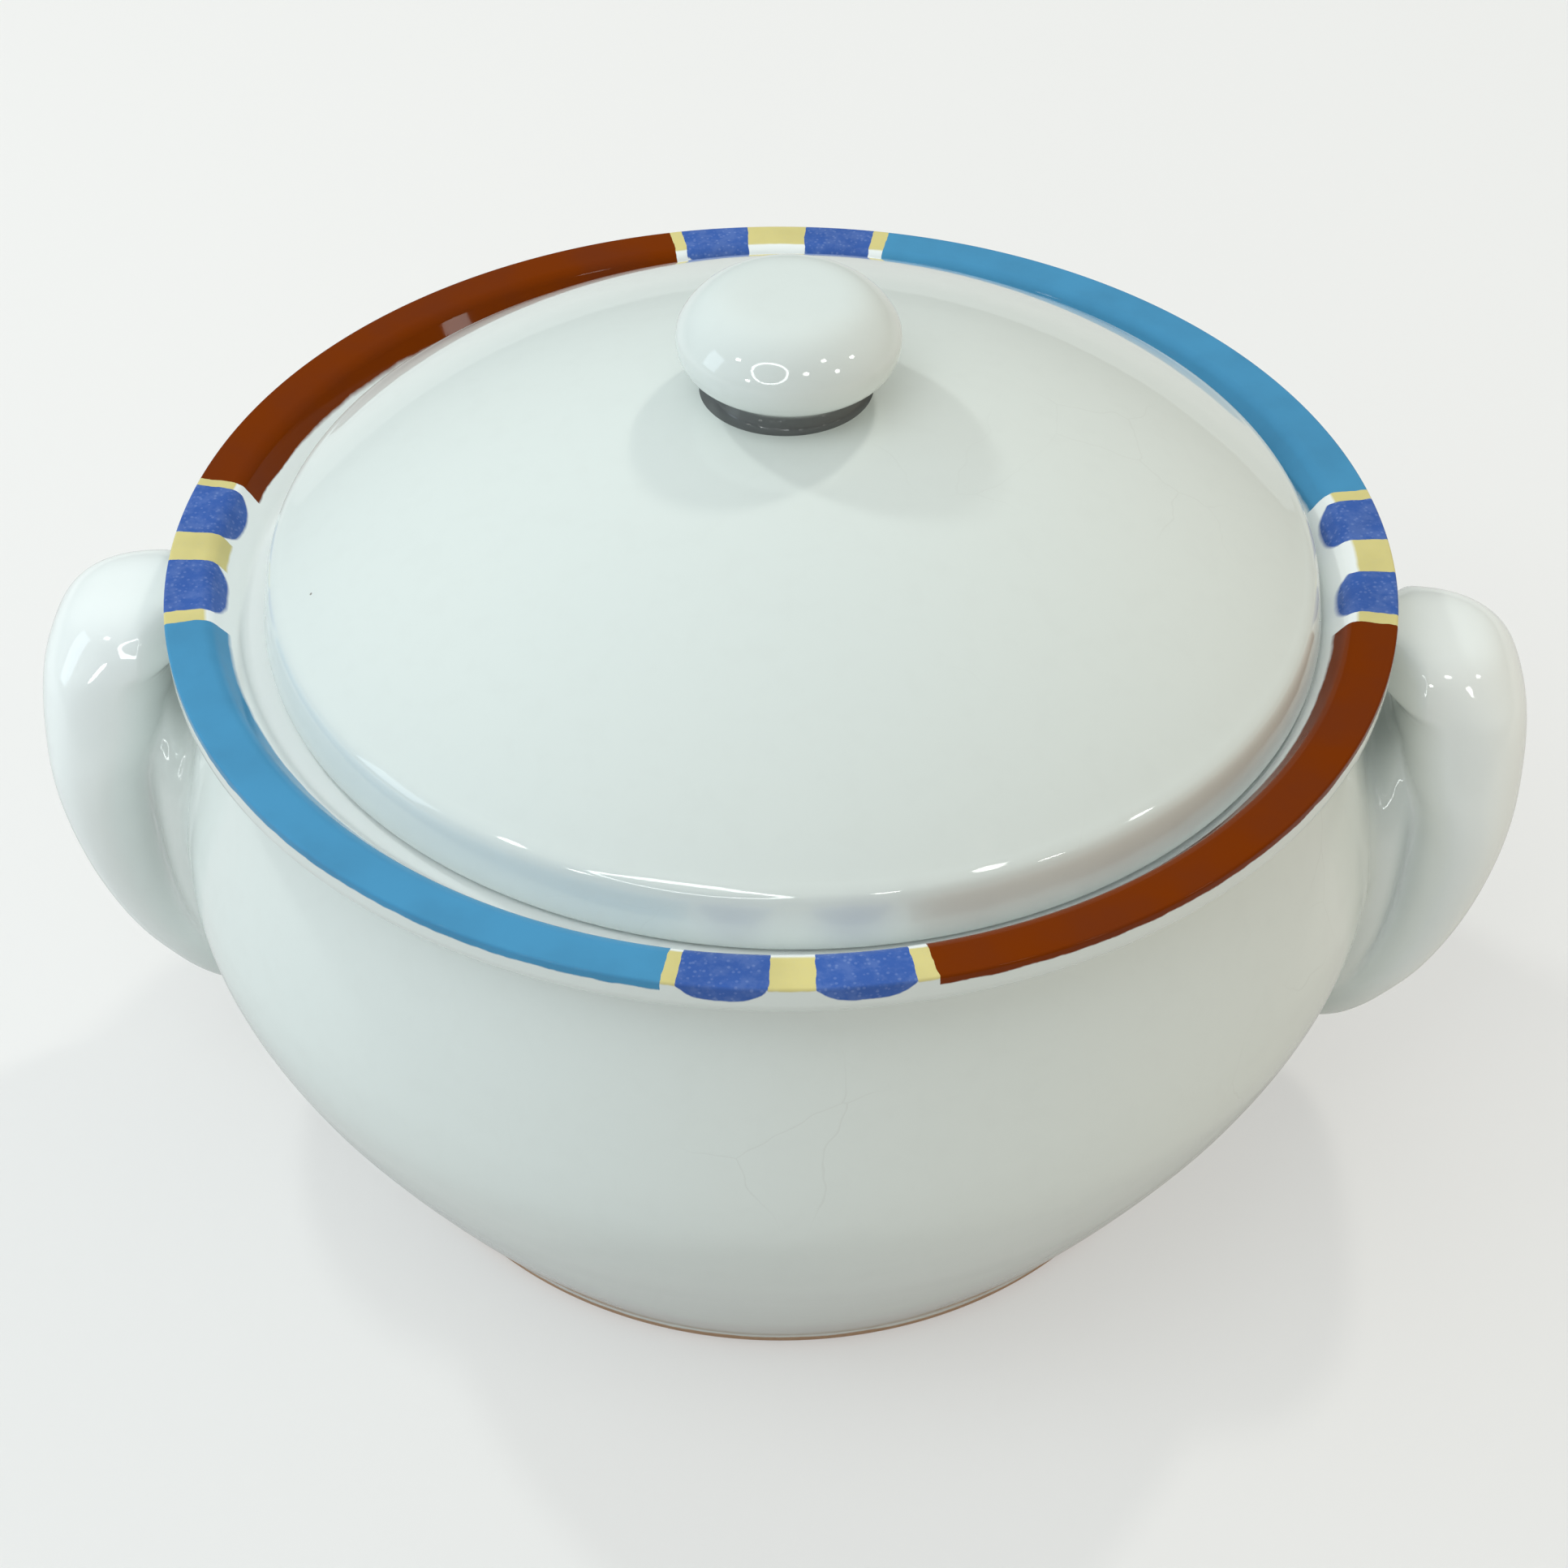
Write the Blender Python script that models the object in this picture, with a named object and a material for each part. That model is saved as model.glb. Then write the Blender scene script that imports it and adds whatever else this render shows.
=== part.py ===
"""Round stoneware casserole with two ear handles, a domed lid and a ball knob.

Metres, +Z up. The origin is at the bottom centre, the handles lie on X and the front faces -Y.
Heights in the tables below are measured down from the rim plane, in millimetres.
"""
import math

import bmesh
import bpy

MM = 0.001
NAME = "lidded_casserole"

RIM_HEIGHT = 132.0        # rim plane above the table
RIM_RADIUS = 115.4        # outer edge of the flared rim
RIM_INNER = 107.4         # where the flat top turns into the bevel
LIP_DROP = 5.0            # height of the rim's outer face
NECK_RADIUS = 106.8
NECK_DROP = 15.5
BELLY_RADIUS = 118.0
BELLY_DROP = 61.0
FOOT_RADIUS = 84.0
FOOT_INNER = 75.0
FOOT_RECESS = 3.0
SEAT_RADIUS = 101.6       # gallery the lid stands in
SEAT_DROP = 7.6
MOUTH_RADIUS = 90.0
FLOOR_DROP = 124.0

LID_RADIUS = 98.6
LID_DOME_RADIUS = 158.0
LID_TOP = 36.6            # crown of the dome above the rim plane
LID_WALL = 5.5
FLANGE_RADIUS = 86.2
FLANGE_DROP = 14.0

KNOB_RADIUS = 20.5
KNOB_BASE = 36.55         # underside of the knob's neck above the rim plane
KNOB_NECK = 15.0
KNOB_HEIGHT = 20.0

GAP = 0.3                 # clearance left between two pieces that touch
STEPS = 72                # facets round a turned piece
EAR_SECTION = 24          # facets round a handle

WHITE = (0.76, 0.79, 0.78, 1.0)


def reset():
    for obj in list(bpy.data.objects):
        bpy.data.objects.remove(obj)


def collection(name, hidden=False):
    group = bpy.data.collections.new(name)
    bpy.context.scene.collection.children.link(group)
    group.hide_render = hidden
    return group


def glaze(name, colour, roughness):
    mat = bpy.data.materials.new(name)
    mat.use_nodes = True
    shader = mat.node_tree.nodes["Principled BSDF"]
    shader.inputs["Base Color"].default_value = colour
    shader.inputs["Roughness"].default_value = roughness
    return mat


def smooth_curve(points, per_span):
    """A Catmull-Rom curve through the points, keeping both ends."""
    ends = [tuple(2 * a - b for a, b in zip(points[0], points[1]))]
    tail = [tuple(2 * a - b for a, b in zip(points[-1], points[-2]))]
    full = ends + list(points) + tail
    out = []
    for i in range(1, len(full) - 2):
        p0, p1, p2, p3 = full[i - 1:i + 3]
        for k in range(per_span):
            t = k / per_span
            out.append(tuple(
                0.5 * (2 * b + (c - a) * t + (2 * a - 5 * b + 4 * c - d) * t * t
                       + (3 * b - a - 3 * c + d) * t ** 3)
                for a, b, c, d in zip(p0, p1, p2, p3)))
    out.append(tuple(points[-1]))
    return out


def arc(cx, cz, radius, start, stop, count):
    """Points on a circle; angles in degrees, measured from +r towards +z."""
    angles = [math.radians(start + (stop - start) * k / (count - 1)) for k in range(count)]
    return [(cx + radius * math.cos(a), cz + radius * math.sin(a)) for a in angles]


def mesh_object(name, verts, faces, group, mat):
    mesh = bpy.data.meshes.new(name)
    mesh.from_pydata(verts, [], faces)
    bm = bmesh.new()
    bm.from_mesh(mesh)
    bmesh.ops.recalc_face_normals(bm, faces=bm.faces)
    bm.to_mesh(mesh)
    bm.free()
    obj = bpy.data.objects.new(name, mesh)
    group.objects.link(obj)
    if mat:
        mesh.materials.append(mat)
    return obj


def turned(name, profile, group, mat=None):
    """Turns a profile of (radius, height) in mm about Z. Both its ends lie on the axis."""
    verts, faces, rings = [], [], []
    for radius, height in profile:
        z = (RIM_HEIGHT + height) * MM
        if radius < 1e-6:
            rings.append([len(verts)])
            verts.append((0.0, 0.0, z))
            continue
        ring = []
        for k in range(STEPS):
            a = 2 * math.pi * (k + 0.5) / STEPS
            ring.append(len(verts))
            verts.append((radius * MM * math.cos(a), radius * MM * math.sin(a), z))
        rings.append(ring)
    for a, b in zip(rings, rings[1:]):
        for k in range(STEPS):
            n = (k + 1) % STEPS
            if len(a) == 1:
                faces.append((a[0], b[n], b[k]))
            elif len(b) == 1:
                faces.append((a[k], a[n], b[0]))
            else:
                faces.append((a[k], a[n], b[n], b[k]))
    return mesh_object(name, verts, faces, group, mat)


def outer_wall():
    """Outside of the pot from the lip's lower corner to the foot, as (radius, height)."""
    return smooth_curve([
        (RIM_RADIUS - 0.6, -LIP_DROP - 0.6), (RIM_RADIUS - 4.2, -LIP_DROP - 3.6),
        (NECK_RADIUS + 0.6, -NECK_DROP + 3.4), (NECK_RADIUS, -NECK_DROP),
        (NECK_RADIUS + 1.4, -NECK_DROP - 4.4), (110.6, -27.0), (113.4, -36.0), (115.9, -45.0),
        (117.6, -53.0), (BELLY_RADIUS, -BELLY_DROP), (115.9, -70.0), (111.4, -81.5),
        (106.2, -92.0), (100.2, -103.0), (93.8, -114.0), (87.4, -124.4),
        (FOOT_RADIUS + 0.6, -129.0)], 2)


def build_pot(group):
    inner = smooth_curve([
        (0.0, -FLOOR_DROP), (40.0, -FLOOR_DROP), (66.0, -123.0), (80.0, -118.6),
        (90.0, -108.4), (98.6, -94.4), (106.0, -79.0), (111.0, -63.0), (110.6, -50.0),
        (107.4, -37.0), (102.4, -26.0), (96.6, -19.4), (92.6, -16.0)], 1)
    mouth = [(MOUTH_RADIUS + 0.4, -14.0)] + arc(MOUTH_RADIUS + 2.0, -SEAT_DROP - 2.0, 2.0, 180, 90, 4)
    seat = [(SEAT_RADIUS - 1.2, -SEAT_DROP)] + [(SEAT_RADIUS, -SEAT_DROP + 0.9)]
    bevel = [(RIM_INNER - 0.5, -0.35), (RIM_INNER + 0.4, 0.0)]
    lip = arc(RIM_RADIUS - 0.9, -0.9, 0.9, 90, 0, 4) + [(RIM_RADIUS, -LIP_DROP + 0.6)]
    foot = [(FOOT_RADIUS, -130.4), (FOOT_RADIUS - 0.7, -RIM_HEIGHT + 0.3),
            (FOOT_RADIUS - 1.6, -RIM_HEIGHT), (FOOT_INNER + 1.2, -RIM_HEIGHT),
            (FOOT_INNER, -RIM_HEIGHT + 0.8), (FOOT_INNER - 1.2, -RIM_HEIGHT + FOOT_RECESS),
            (0.0, -RIM_HEIGHT + FOOT_RECESS)]
    profile = inner + mouth + seat + bevel + lip + outer_wall() + foot
    return turned("pot_body", profile, group, glaze("pot_glaze", WHITE, 0.12))


def wall_cutter(group):
    """The pot's outline grown by the gap, used to fit the handle roots to the wall."""
    skin = [(r + GAP, z) for r, z in outer_wall()]
    top = [(0.0, 12.0), (RIM_RADIUS + GAP, 12.0), (RIM_RADIUS + GAP, -LIP_DROP)]
    foot = [(FOOT_RADIUS + GAP, -RIM_HEIGHT - 2.0), (0.0, -RIM_HEIGHT - 2.0)]
    return turned("cut_wall", top + skin + foot, group)


# Level slices of a handle, top to bottom: drop, inner x, outer x, half width, width kept inside.
BAND = [
    (-11.7, 106.0, 116.5, 4.5, 1.0), (-12.5, 105.6, 124.0, 7.4, 0.80), (-13.5, 105.2, 130.5, 10.2, 0.66),
    (-14.7, 104.6, 134.8, 13.0, 0.54), (-16.6, 103.4, 138.0, 16.0, 0.48),
    (-19.2, 103.0, 140.4, 18.8, 0.44), (-21.9, 104.5, 142.0, 21.0, 0.46),
    (-24.2, 109.5, 143.0, 22.6, 0.62), (-26.2, 115.4, 143.7, 23.6, 0.82),
    (-28.8, 118.2, 144.3, 24.4, 0.94), (-33.0, 119.2, 144.8, 25.0, 1.0),
    (-38.5, 120.2, 144.9, 25.4, 1.0), (-45.0, 122.4, 144.6, 25.6, 1.0),
    (-52.0, 123.6, 143.6, 25.6, 1.0), (-60.0, 123.4, 141.8, 25.4, 1.0),
    (-68.0, 122.6, 139.4, 25.2, 1.0), (-76.0, 120.6, 136.2, 25.0, 1.0),
    (-83.5, 116.4, 132.8, 24.6, 1.0), (-90.0, 110.0, 129.2, 24.0, 1.0),
    (-96.0, 105.0, 125.0, 22.8, 1.0), (-101.0, 102.0, 120.4, 20.0, 1.0),
    (-104.0, 100.0, 115.0, 15.0, 1.0), (-105.2, 99.0, 108.0, 8.0, 1.0)]
STRAND = [
    (-36.0, 118.6, 123.6, 9.0, 1.0), (-42.0, 115.6, 124.6, 15.0, 1.0),
    (-50.0, 113.4, 125.2, 19.0, 1.0), (-60.0, 112.0, 125.0, 21.0, 1.0),
    (-70.0, 110.0, 124.2, 22.2, 1.0), (-80.0, 107.0, 122.6, 22.8, 1.0),
    (-90.0, 103.0, 119.0, 22.0, 1.0), (-98.0, 100.0, 113.0, 17.0, 1.0)]


def ease(t):
    t = min(max(t, 0.0), 1.0)
    return t * t * (3 - 2 * t)


def stacked(name, table, side, group, power=2.15):
    """Skins level oval slices; the width kept inside narrows a slice towards the pot."""
    rings = []
    for drop, inner, outer, half, kept in smooth_curve(table, 2):
        ring = []
        for k in range(EAR_SECTION):
            a = 2 * math.pi * (k + 0.5) / EAR_SECTION
            u = math.copysign(abs(math.cos(a)) ** (2 / power), math.cos(a))
            v = math.copysign(abs(math.sin(a)) ** (2 / power), math.sin(a))
            x = (inner + outer) / 2 + (outer - inner) / 2 * u
            y = half * v * (kept + (1 - kept) * ease((x - 112.0) / 14.0))
            ring.append((side * x * MM, y * MM, (RIM_HEIGHT + drop) * MM))
        rings.append(ring)
    verts = [p for ring in rings for p in ring]
    n = EAR_SECTION
    faces = [(i * n + k, i * n + (k + 1) % n, (i + 1) * n + (k + 1) % n, (i + 1) * n + k)
             for i in range(len(rings) - 1) for k in range(n)]
    last = (len(rings) - 1) * n
    faces += [tuple(range(n)), tuple(range(last, last + n))]
    return mesh_object(name, verts, faces, group, None)


def combine(obj, tool, operation):
    mod = obj.modifiers.new(operation.lower(), "BOOLEAN")
    mod.operation = operation
    mod.solver = "EXACT"
    mod.object = tool


def apply_modifiers(obj):
    bpy.context.view_layer.update()
    graph = bpy.context.evaluated_depsgraph_get()
    mesh = bpy.data.meshes.new_from_object(obj.evaluated_get(graph))
    obj.modifiers.clear()
    obj.data = mesh


def build_handle(name, side, group, cutters, wall):
    band = stacked(name, BAND, side, group)
    strand = stacked("join_" + name, STRAND, side, cutters)
    combine(band, strand, "UNION")
    combine(band, wall, "DIFFERENCE")
    apply_modifiers(band)
    bm = bmesh.new()
    bm.from_mesh(band.data)
    bmesh.ops.remove_doubles(bm, verts=bm.verts, dist=0.00005)
    bmesh.ops.triangulate(bm, faces=bm.faces)
    bm.to_mesh(band.data)
    bm.free()
    band.data.materials.clear()
    band.data.materials.append(glaze(name + "_glaze", WHITE, 0.12))
    return band


def dome(radius, crown, sphere):
    return crown - sphere + math.sqrt(sphere * sphere - radius * radius)


def build_lid(group):
    crown = [(0.0, LID_TOP - 0.35), (KNOB_NECK + 1.0, LID_TOP - 0.45)]
    top = [(r, dome(r, LID_TOP + 0.5, LID_DOME_RADIUS)) for r in
           (19.0, 27.0, 35.0, 43.0, 51.0, 59.0, 66.0, 73.0, 79.0, 84.5, 89.5, 93.5)]
    edge = [(95.9, 4.8), (97.4, 3.2), (98.3, 0.9), (LID_RADIUS, -1.6), (LID_RADIUS, -5.2),
            (98.2, -6.5), (97.4, -SEAT_DROP + GAP)]
    flange = [(FLANGE_RADIUS + 1.6, -SEAT_DROP + GAP), (FLANGE_RADIUS + 0.3, -SEAT_DROP - 1.0),
              (FLANGE_RADIUS, -FLANGE_DROP + 1.2), (FLANGE_RADIUS - 1.0, -FLANGE_DROP),
              (FLANGE_RADIUS - 3.6, -FLANGE_DROP), (FLANGE_RADIUS - 4.6, -FLANGE_DROP + 1.2)]
    under = [(r, dome(r, LID_TOP - LID_WALL, LID_DOME_RADIUS - LID_WALL)) for r in
             (80.0, 74.0, 67.0, 59.0, 51.0, 43.0, 35.0, 27.0, 19.0, 11.0)]
    profile = crown + top + edge + flange + under + [(0.0, LID_TOP - LID_WALL)]
    return turned("lid_cover", profile, group, glaze("lid_glaze", WHITE, 0.12))


def build_knob(group):
    b, h = KNOB_BASE, KNOB_HEIGHT
    profile = smooth_curve([
        (0.0, b + h), (6.0, b + h - 0.1), (10.8, b + h - 0.5), (14.6, b + h - 1.7),
        (17.7, b + h - 4.0), (19.8, b + h - 6.9), (KNOB_RADIUS, b + h - 9.2),
        (20.1, b + h - 11.6), (18.7, b + h - 13.8), (16.6, b + h - 15.6), (15.0, b + h - 17.0),
        (14.6, b + 1.5), (KNOB_NECK, b + 0.4)], 1)
    profile += [(KNOB_NECK - 0.4, b), (0.0, b)]
    return turned("lid_knob", profile, group, glaze("knob_glaze", WHITE, 0.12))


def main():
    reset()
    parts = collection(NAME)
    cutters = collection("cutters", hidden=True)
    build_pot(parts)
    wall = wall_cutter(cutters)
    build_handle("handle_left", -1, parts, cutters, wall)
    build_handle("handle_right", 1, parts, cutters, wall)
    build_lid(parts)
    build_knob(parts)
    for obj in cutters.objects:
        obj.hide_render = True
        obj.display_type = "WIRE"


main()
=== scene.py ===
# Round stoneware casserole: glazed pot with a painted rim, two ear handles, domed lid and ball knob.
# Shapes are written in millimetres; heights are measured from the rim plane, downwards negative.
import math

import bpy
import numpy as np
from mathutils import Matrix, Vector


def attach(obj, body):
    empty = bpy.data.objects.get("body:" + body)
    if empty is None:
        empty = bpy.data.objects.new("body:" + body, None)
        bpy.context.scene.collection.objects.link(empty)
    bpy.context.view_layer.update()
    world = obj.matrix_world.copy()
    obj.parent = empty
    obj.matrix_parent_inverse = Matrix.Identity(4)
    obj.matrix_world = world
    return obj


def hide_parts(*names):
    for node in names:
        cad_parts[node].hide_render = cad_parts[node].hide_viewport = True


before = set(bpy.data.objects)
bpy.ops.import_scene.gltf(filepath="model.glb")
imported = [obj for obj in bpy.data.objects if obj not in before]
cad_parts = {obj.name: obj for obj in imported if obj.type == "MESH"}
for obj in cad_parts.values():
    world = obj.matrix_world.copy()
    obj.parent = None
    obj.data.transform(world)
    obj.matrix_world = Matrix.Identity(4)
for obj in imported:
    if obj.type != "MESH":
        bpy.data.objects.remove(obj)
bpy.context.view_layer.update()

MM = 0.001
RIM_HEIGHT = 132.0
LIP_RADIUS = 115.4        # outer edge of the rim
ROUND_STEPS = 288         # facets round a turned piece
MOST_ROUNDED = 0.45       # share of a line that rounding one of its ends may use up
LID_SLIP = (2.2, -0.3)    # the loose lid stands this far off centre
KNOB_CENTRE = (1.2, 1.1)  # the hand-set knob is a little off the lid's centre


# ---------------------------------------------------------------- curves and meshes

def smooth_curve(points, per_span):
    """A Catmull-Rom curve through the points, keeping both ends."""
    p = np.array(points, float)
    p = np.vstack([2 * p[0] - p[1], p, 2 * p[-1] - p[-2]])
    t = (np.arange(per_span) / per_span)[:, None]
    out = [0.5 * (2 * b + (c - a) * t + (2 * a - 5 * b + 4 * c - d) * t * t
                  + (3 * b - a - 3 * c + d) * t ** 3)
           for a, b, c, d in zip(p, p[1:], p[2:], p[3:])]
    return [tuple(q) for q in np.vstack(out + [p[-2:-1]])]


def arc(cx, cz, radius, start, stop, count):
    """Points on a circle; angles in degrees, from +r towards +z."""
    a = np.radians(np.linspace(start, stop, count))
    return list(zip(cx + radius * np.cos(a), cz + radius * np.sin(a)))


def rounded(points, radius, count=5):
    """The open polyline with each inner corner replaced by a small arc-like bend."""
    p = [np.array(q, float) for q in points]
    out = [tuple(p[0])]
    for a, b, c in zip(p, p[1:], p[2:]):
        before, after = np.linalg.norm(a - b), np.linalg.norm(c - b)
        reach = min(radius, MOST_ROUNDED * before, MOST_ROUNDED * after)
        start = b + (a - b) / before * reach
        stop = b + (c - b) / after * reach
        out += [tuple((1 - t) ** 2 * start + 2 * t * (1 - t) * b + t * t * stop)
                for t in np.linspace(0, 1, count)]
    return out + [tuple(p[-1])]


def new_object(name, verts, faces, normals=None):
    """A smooth-shaded mesh object, linked to the scene."""
    mesh = bpy.data.meshes.new(name)
    mesh.from_pydata([tuple(v) for v in verts], [], [tuple(map(int, f)) for f in faces])
    mesh.shade_smooth()
    if normals is not None:
        mesh.normals_split_custom_set_from_vertices([tuple(n) for n in normals])
    obj = bpy.data.objects.new(name, mesh)
    bpy.context.scene.collection.objects.link(obj)
    return obj


def turned(name, profile, centre=(0.0, 0.0)):
    """Turns a profile of (radius, height), inside first and counter-clockwise, about the Z axis."""
    angle = 2 * math.pi * np.arange(ROUND_STEPS) / ROUND_STEPS
    cos, sin = np.cos(angle), np.sin(angle)
    verts, faces, rings = [], [], []
    for radius, height in profile:
        z = (RIM_HEIGHT + height) * MM
        first = len(verts)
        if radius < 1e-6:
            verts.append((centre[0] * MM, centre[1] * MM, z))
            rings.append(np.full(ROUND_STEPS, first))
            continue
        x, y = (centre[0] + radius * cos) * MM, (centre[1] + radius * sin) * MM
        verts += list(zip(x, y, np.full(ROUND_STEPS, z)))
        rings.append(first + np.arange(ROUND_STEPS))
    for a, b in zip(rings, rings[1:]):
        an, bn = np.roll(a, -1), np.roll(b, -1)
        for quad in zip(a, b, bn, an):
            corners = list(dict.fromkeys(quad))
            if len(corners) > 2:
                faces.append(corners)
    return new_object(name, verts, faces)


# ---------------------------------------------------------------- the pot

def outer_wall(per_span=8):
    """Outside of the pot from the lip's lower corner to the foot."""
    return smooth_curve([
        (114.8, -5.6), (111.2, -8.6), (107.4, -12.1), (106.8, -15.5), (108.2, -19.9),
        (110.6, -27.0), (113.4, -36.0), (115.9, -45.0), (117.6, -53.0), (118.0, -61.0),
        (115.9, -70.0), (111.4, -81.5), (106.2, -92.0), (100.2, -103.0), (93.8, -114.0),
        (87.4, -124.4), (84.6, -129.0)], per_span)


def build_pot():
    inner = smooth_curve([
        (0.0, -124.0), (40.0, -124.0), (66.0, -123.0), (80.0, -118.6), (90.0, -108.4),
        (98.6, -94.4), (106.0, -79.0), (111.0, -63.0), (110.6, -50.0), (107.4, -37.0),
        (102.4, -26.0), (96.6, -19.4), (92.6, -16.0), (90.4, -14.0)], 6)
    mouth = arc(92.0, -9.6, 2.0, 180, 90, 8)
    rim = rounded([(93.0, -7.6), (101.4, -7.6), (106.6, -0.75), (108.2, 0.0), (114.3, 0.0)], 1.2, 6)
    lip = arc(114.85, -0.55, 0.55, 90, 0, 7) + [(LIP_RADIUS, -3.6), (115.35, -4.6)]
    foot = rounded([(84.6, -129.0), (83.7, -132.0), (75.6, -132.0), (74.2, -129.0),
                    (0.0, -129.0)], 0.9, 5)
    return turned("stoneware_pot", inner + mouth + rim + lip + outer_wall() + foot[1:])


# ---------------------------------------------------------------- the ear handles

# Level slices, top to bottom: height, inner x, outer x, half width, share of the width kept inside.
BAND = [
    (-11.7, 106.0, 116.5, 4.5, 1.0), (-12.5, 105.6, 124.0, 7.2, 0.80), (-13.5, 105.2, 130.5, 9.8, 0.66),
    (-14.7, 104.6, 134.8, 12.3, 0.54), (-16.6, 103.4, 138.0, 14.9, 0.48),
    (-19.2, 105.0, 140.4, 17.2, 0.46), (-21.9, 110.5, 142.0, 19.0, 0.60),
    (-24.2, 115.6, 143.0, 20.3, 0.80), (-26.2, 117.6, 143.7, 21.2, 0.92),
    (-28.8, 118.6, 144.3, 22.2, 0.98), (-33.0, 119.2, 144.8, 23.4, 1.0),
    (-38.5, 120.2, 144.9, 24.6, 1.0), (-45.0, 122.4, 144.6, 25.5, 1.0),
    (-52.0, 123.6, 143.6, 26.0, 1.0), (-60.0, 123.4, 141.8, 26.1, 1.0),
    (-68.0, 122.6, 139.4, 25.8, 1.0), (-76.0, 120.6, 136.2, 25.3, 1.0),
    (-83.5, 116.4, 132.8, 24.6, 1.0), (-90.0, 110.0, 129.2, 23.6, 1.0),
    (-96.0, 105.0, 125.0, 22.0, 1.0), (-101.0, 102.0, 120.4, 19.0, 1.0),
    (-104.0, 100.0, 115.0, 14.5, 1.0), (-105.2, 99.0, 108.0, 8.0, 1.0)]
STRAND = [
    (-36.0, 118.6, 123.6, 9.0, 1.0), (-42.0, 115.6, 124.6, 15.0, 1.0),
    (-50.0, 113.4, 125.2, 19.0, 1.0), (-60.0, 112.0, 125.0, 21.0, 1.0),
    (-70.0, 110.0, 124.2, 22.2, 1.0), (-80.0, 107.0, 122.6, 22.8, 1.0),
    (-90.0, 103.0, 119.0, 22.0, 1.0), (-98.0, 100.0, 113.0, 17.0, 1.0)]
OVAL_POWER = 2.45         # 2 is an ellipse; higher is squarer
EAR_LEAN = 2.4            # how far the ear's shoulder leans towards the back
LEAN_HEIGHT = -26.0       # where it leans most
LEAN_REACH = 13.0         # how far above and below that the lean fades out
WIDEN_START = 113.0       # a slice is at its narrowest up to this x
WIDEN_REACH = 9.5         # and at its full width this much further out
TOP_CUT = -6.5            # the skin stops at this height, inside the rim's lip
ROOT_MARGIN = 1.0         # how far past the fillet a handle's root reaches sideways
SKIN_LOW = (96.0, -31.0, -112.0)   # the block of space searched for the right handle's skin
SKIN_HIGH = (148.0, 31.0, -4.0)
SKIN_STEP = 1.0
PULLS = 4                 # times that each skin point is pulled onto the surface
MOST_PULLED = 0.4         # share of a step that one pull may move it
CREASE = 2.6              # how softly the strand melts into the band
FILLET = 4.6              # how softly a handle melts into the pot
SUNK = 0.03               # a handle's skin ends this far under the pot's
ROOT_DEPTH = 1.6          # how far a handle's root reaches into the wall


def ease(t):
    """0 to 1, level at both ends."""
    t = np.clip(t, 0.0, 1.0)
    return t * t * (3 - 2 * t)


def soft_union(a, b, reach):
    """Smaller of two distances, rounded where they differ by less than reach."""
    h = np.maximum(reach - np.abs(a - b), 0.0) / reach
    return np.minimum(a, b) - h * h * reach / 4


def ear_distance(table):
    """A function giving the rough distance to the ear made of a table's slices, inside negative."""
    rows = np.array(smooth_curve(table, 8))[::-1]

    def distance(x, y, z):
        y = y - EAR_LEAN * np.exp(-((z - LEAN_HEIGHT) / LEAN_REACH) ** 2)
        inner, outer, half, kept = (np.interp(z, rows[:, 0], rows[:, i]) for i in (1, 2, 3, 4))
        deep = (outer - inner) / 2
        wide = half * (kept + (1 - kept) * ease((x - WIDEN_START) / WIDEN_REACH))
        u, v = (x - (inner + outer) / 2) / deep, y / wide
        size = (np.abs(u) ** OVAL_POWER + np.abs(v) ** OVAL_POWER) ** (1 / OVAL_POWER)
        slope = np.sqrt((u / deep) ** 2 + (v / wide) ** 2) + 1e-6
        flat = np.maximum((size - 1) * size / slope, -np.minimum(deep, wide))
        over = np.maximum(z - rows[-1, 0], rows[0, 0] - z)
        return np.where(over > 0, np.hypot(np.maximum(flat, 0), over), flat)
    return distance


WALL = np.array([(LIP_RADIUS, 0.0), (LIP_RADIUS, -4.6)] + outer_wall(10))[::-1]
WALL_SLOPE = np.gradient(WALL[:, 0], WALL[:, 1])


def wall_distance(x, y, z):
    """Rough distance to the pot's outer wall, inside negative."""
    radius = np.interp(z, WALL[:, 1], WALL[:, 0])
    slope = np.interp(z, WALL[:, 1], WALL_SLOPE)
    return (np.hypot(x, y) - radius) / np.sqrt(1 + slope * slope)


def handle_field():
    """The right handle with its fillet, as one distance; below 0 is inside."""
    band, strand = ear_distance(BAND), ear_distance(STRAND)

    def field(x, y, z):
        ear = soft_union(band(x, y, z), strand(x, y, z), CREASE)
        wall = wall_distance(x, y, z)
        skin = soft_union(ear, wall, FILLET) + SUNK
        hidden = np.maximum(-(wall + ROOT_DEPTH), ear - FILLET - ROOT_MARGIN)
        return np.maximum(np.maximum(skin, hidden), z - TOP_CUT)
    return field


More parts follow.
